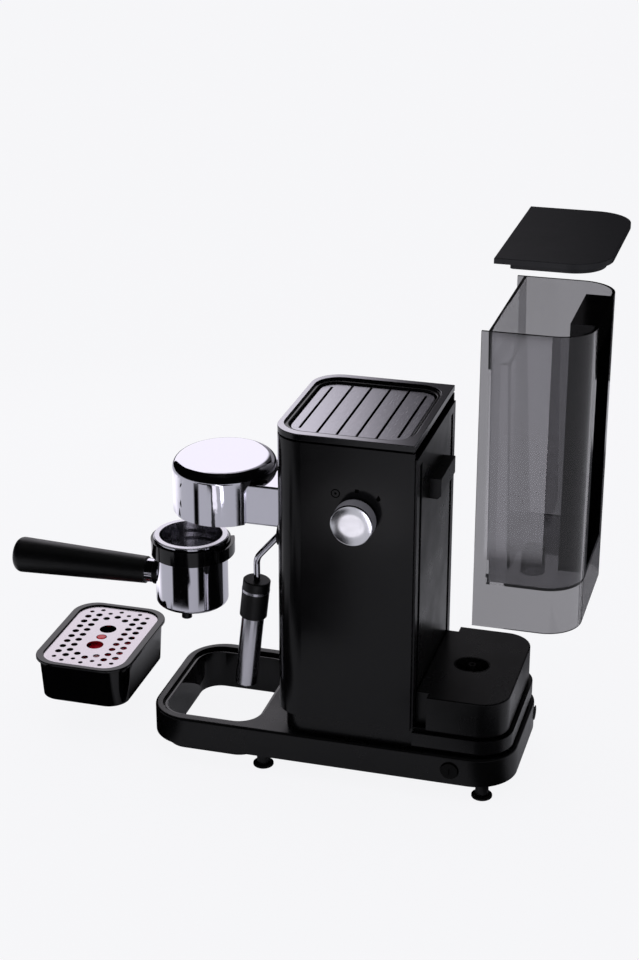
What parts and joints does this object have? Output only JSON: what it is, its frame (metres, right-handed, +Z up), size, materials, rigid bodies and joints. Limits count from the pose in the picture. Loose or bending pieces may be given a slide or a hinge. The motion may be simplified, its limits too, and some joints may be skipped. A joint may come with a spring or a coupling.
{
  "type": "espresso machine",
  "caption": "Slim countertop espresso machine with chrome brew head, steam wand and side knob; tank, lid, portafilter and drip tray are held clear and slide home.",
  "frame": {"origin": "on the counter plane, on the machine's middle plane, midway between the front and rear feet", "axes": "+Z up, -Y towards the user (brew head side), +X the side with the knob and the power button"},
  "size_m": [0.1672, 0.5297, 0.4818],
  "materials": {
    "painted_steel": "satin black powder coat",
    "black_plastic": "fine grained moulding",
    "soft_black": "smooth satin moulding",
    "gloss_black": "polished moulding",
    "grey_plastic": "plain moulding",
    "red_plastic": "polished moulding",
    "smoke_plastic": "clear smoked moulding",
    "rubber": "moulded",
    "chrome": "polished",
    "brushed_steel": "brushed",
    "brushed_aluminium": "brushed",
    "cast_aluminium": "as cast",
    "plated_steel": "zinc plated",
    "brass": "turned",
    "clear_hose": "silicone",
    "white_hose": "extruded",
    "board": "lacquered board"
  },
  "bodies": {
    "machine": {"base_housing": "black_plastic", "base_plate": "plated_steel", "plate_screws": "plated_steel", "foot_stems": "black_plastic", "foot_pads": "rubber", "tray_well": "gloss_black", "plinth": "black_plastic", "tank_pedestal": "black_plastic", "valve_seat": "rubber", "column_shell": "painted_steel", "top_bezel": "painted_steel", "cup_plate": "brushed_steel", "rear_panel": "black_plastic", "tank_hook": "black_plastic", "head_arm": "chrome", "head_cap": "chrome", "head_pad": "black_plastic", "brew_group": "cast_aluminium", "lock_ring": "black_plastic", "group_gasket": "rubber", "disperser": "brass", "shower_screen": "brushed_steel", "screen_screw": "plated_steel", "wand_socket": "black_plastic", "chassis": "plated_steel", "boiler": "cast_aluminium", "thermostat": "brass", "pump": "black_plastic", "pump_mounts": "rubber", "feed_hose": "clear_hose", "brew_pipe": "white_hose", "steam_pipe": "white_hose", "control_board": "board", "selector_switch": "grey_plastic", "power_switch": "grey_plastic", "cord_gland": "rubber"},
    "wand": {"wand_pipe": "chrome", "wand_grip": "soft_black", "wand_ring": "brushed_steel", "wand_sleeve": "brushed_steel", "wand_nozzle": "plated_steel"},
    "knob": {"knob_cap": "brushed_aluminium", "knob_skirt": "black_plastic", "knob_shaft": "grey_plastic"},
    "button": {"power_button": "gloss_black"},
    "portafilter": {"basket": "brushed_steel", "portafilter_bowl": "chrome", "portafilter_collar": "black_plastic", "spout": "black_plastic", "handle_neck": "black_plastic", "handle_ferrule": "chrome", "handle": "soft_black"},
    "drip_tray": {"tray_box": "gloss_black"},
    "grid": {"tray_grid": "brushed_steel"},
    "float": {"tray_float": "red_plastic"},
    "tank": {"tank_shell": "smoke_plastic", "tank_grip": "gloss_black", "valve_cup": "smoke_plastic"},
    "valve": {"valve_plunger": "grey_plastic"},
    "lid": {"tank_lid": "black_plastic"}
  },
  "joints": [
    {"name": "tank_seating", "type": "slide", "parent": "machine", "child": "tank", "axis": [0, -0.4279, -0.9038], "range_m": [0, 0.11664]},
    {"name": "lid_closing", "type": "slide", "parent": "tank", "child": "lid", "axis": [0, -0.145, -0.9894], "range_m": [0, 0.05498]},
    {"name": "valve_lift", "type": "slide", "parent": "tank", "child": "valve", "axis": [0, 0, 1], "range_m": [0, 0.003], "stiffness_N_per_m": 250},
    {"name": "portafilter_seating", "type": "slide", "parent": "machine", "child": "portafilter", "axis": [0, 0.6712, 0.7412], "range_m": [0, 0.04857]},
    {"name": "tray_lift", "type": "slide", "parent": "machine", "child": "drip_tray", "axis": [0, 0, 1], "range_m": [0, 0.025]},
    {"name": "grid_lift", "type": "slide", "parent": "drip_tray", "child": "grid", "axis": [0, 0, 1], "range_m": [0, 0.02]},
    {"name": "float_rise", "type": "slide", "parent": "drip_tray", "child": "float", "axis": [0, 0, 1], "range_m": [0, 0.004]},
    {"name": "knob_turn", "type": "hinge", "parent": "machine", "child": "knob", "pos_m": [0.074, -0.011, 0.2529], "axis": [1, 0, 0], "range_deg": [-45, 45]},
    {"name": "button_press", "type": "slide", "parent": "machine", "child": "button", "axis": [-1, 0, 0], "range_m": [0, 0.0015], "stiffness_N_per_m": 400},
    {"name": "wand_swing", "type": "hinge", "parent": "machine", "child": "wand", "pos_m": [0.046, -0.08, 0.2228], "axis": [0, 0, 1], "range_deg": [-25, 30]}
  ]
}
